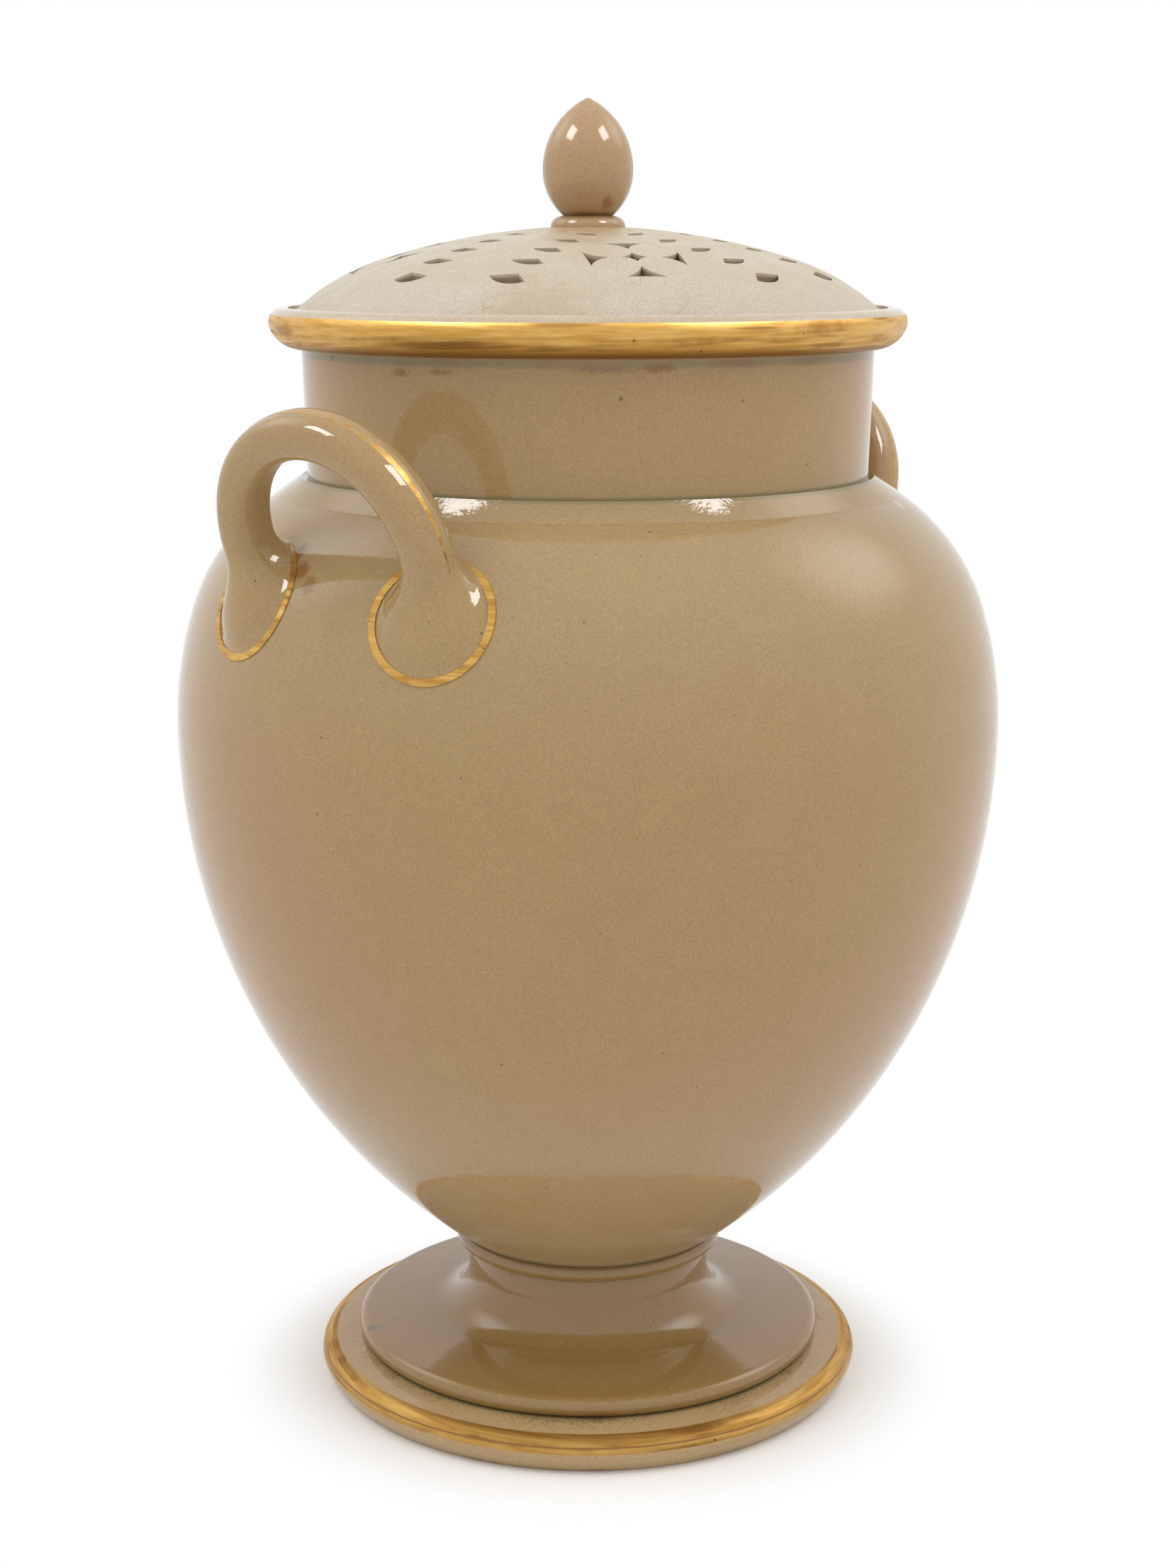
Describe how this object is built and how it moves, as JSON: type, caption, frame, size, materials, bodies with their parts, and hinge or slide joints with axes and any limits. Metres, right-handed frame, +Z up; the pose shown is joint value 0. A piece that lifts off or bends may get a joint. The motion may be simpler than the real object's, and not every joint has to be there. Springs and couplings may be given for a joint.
{
  "type": "potpourri vase",
  "caption": "Ovoid potpourri vase with looped handles on a round plinth foot: drab glaze, worn gilt lines, and a domed pierced lift-off cover with an acorn knob.",
  "frame": {"origin": "centre of the plinth's underside, on the ground", "axes": "+Z up along the vase's axis; the two handles stand on -X and +X"},
  "size_m": [0.2382, 0.2306, 0.3648],
  "materials": {
    "glaze": "glossy drab glaze",
    "gilding": "worn fired gilding"
  },
  "bodies": {
    "vase": {"plinth": "glaze", "plinth_gilding": "gilding", "plinth_gilt_line": "gilding", "foot": "glaze", "body": "glaze", "neck": "glaze", "rim_gilding": "gilding", "handle_left": "glaze", "handle_right": "glaze", "stripe_left": "gilding", "stripe_right": "gilding", "ring_left_a": "gilding", "ring_left_b": "gilding", "ring_right_a": "gilding", "ring_right_b": "gilding"},
    "lid": {"cover": "glaze", "knob": "glaze"}
  },
  "joints": [
    {"name": "cover_lift", "type": "slide", "parent": "vase", "child": "lid", "axis": [0, 0, 1], "range_m": [0, 0.2]}
  ]
}
